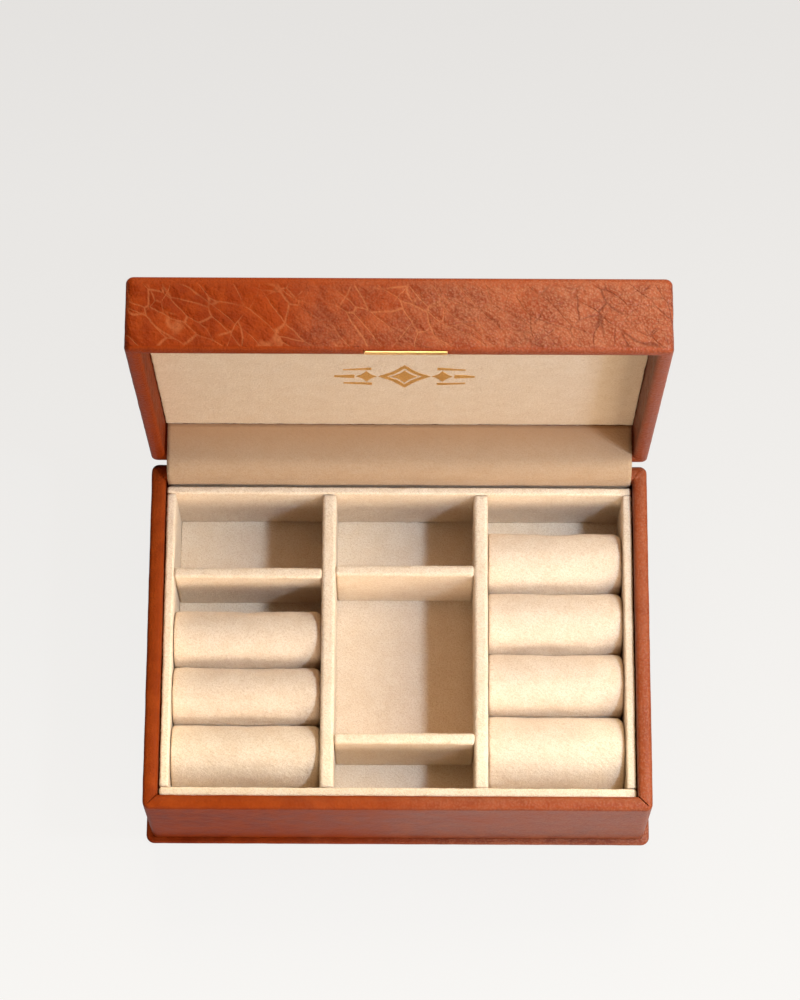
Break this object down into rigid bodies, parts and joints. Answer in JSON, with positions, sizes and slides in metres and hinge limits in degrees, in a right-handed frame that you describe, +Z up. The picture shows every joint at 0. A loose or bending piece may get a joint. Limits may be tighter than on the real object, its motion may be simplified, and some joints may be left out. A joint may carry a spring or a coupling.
{
  "type": "jewellery case",
  "caption": "Rectangular leather jewellery case with a padded hinged lid, suede lining, open compartments and columns of ring rolls",
  "frame": {"origin": "centre of the case's underside, on the surface it rests on; the case's walls are centred on it", "axes": "+X runs along the case's long side, to the right as the open case is faced; +Y runs from the front towards the hinge; +Z is up"},
  "size_m": [0.2044, 0.1736, 0.2007],
  "materials": {
    "tan_leather": "grained cognac leather with a soft sheen",
    "cream_suede": "short-napped cream suede",
    "board": "raw fibreboard, hidden under leather and suede",
    "foam": "soft white padding, hidden",
    "brass": "brushed gold-coloured plate",
    "magnet_steel": "plated magnet, hidden"
  },
  "bodies": {
    "base": {"underside_lining": "cream_suede", "foot_board": "tan_leather", "base_core_front": "board", "base_core_rear": "board", "base_core_left": "board", "base_core_right": "board", "base_bottom_board": "board", "base_leather_cover": "tan_leather", "closure_magnet_1": "magnet_steel", "closure_magnet_2": "magnet_steel", "insert_floor": "cream_suede", "insert_wall_front": "cream_suede", "insert_wall_rear": "cream_suede", "insert_wall_left": "cream_suede", "insert_wall_right": "cream_suede", "long_divider_left": "cream_suede", "long_divider_right": "cream_suede", "cross_divider_left": "cream_suede", "cross_divider_centre_rear": "cream_suede", "cross_divider_centre_front": "cream_suede", "ring_roll_left_1": "cream_suede", "ring_roll_left_2": "cream_suede", "ring_roll_left_3": "cream_suede", "ring_roll_right_1": "cream_suede", "ring_roll_right_2": "cream_suede", "ring_roll_right_3": "cream_suede", "ring_roll_right_4": "cream_suede", "hinge_leather_base": "tan_leather", "hinge_lining_base": "cream_suede", "hinge_lining_span": "cream_suede"},
    "lid": {"lid_leather_cover": "tan_leather", "lid_top_board": "board", "lid_core_front": "board", "lid_core_rear": "board", "lid_core_left": "board", "lid_core_right": "board", "lid_foam_pad": "foam", "lid_suede_panel": "cream_suede", "strike_plate": "brass", "hinge_leather_lid": "tan_leather", "hinge_lining_lid": "cream_suede"}
  },
  "joints": [
    {"name": "lid_hinge", "type": "hinge", "parent": "base", "child": "lid", "pos_m": [0, 0.0717, 0.0572], "axis": [1, 0, 0], "range_deg": [0, 88], "deforming": ["hinge_lining_span"]}
  ]
}
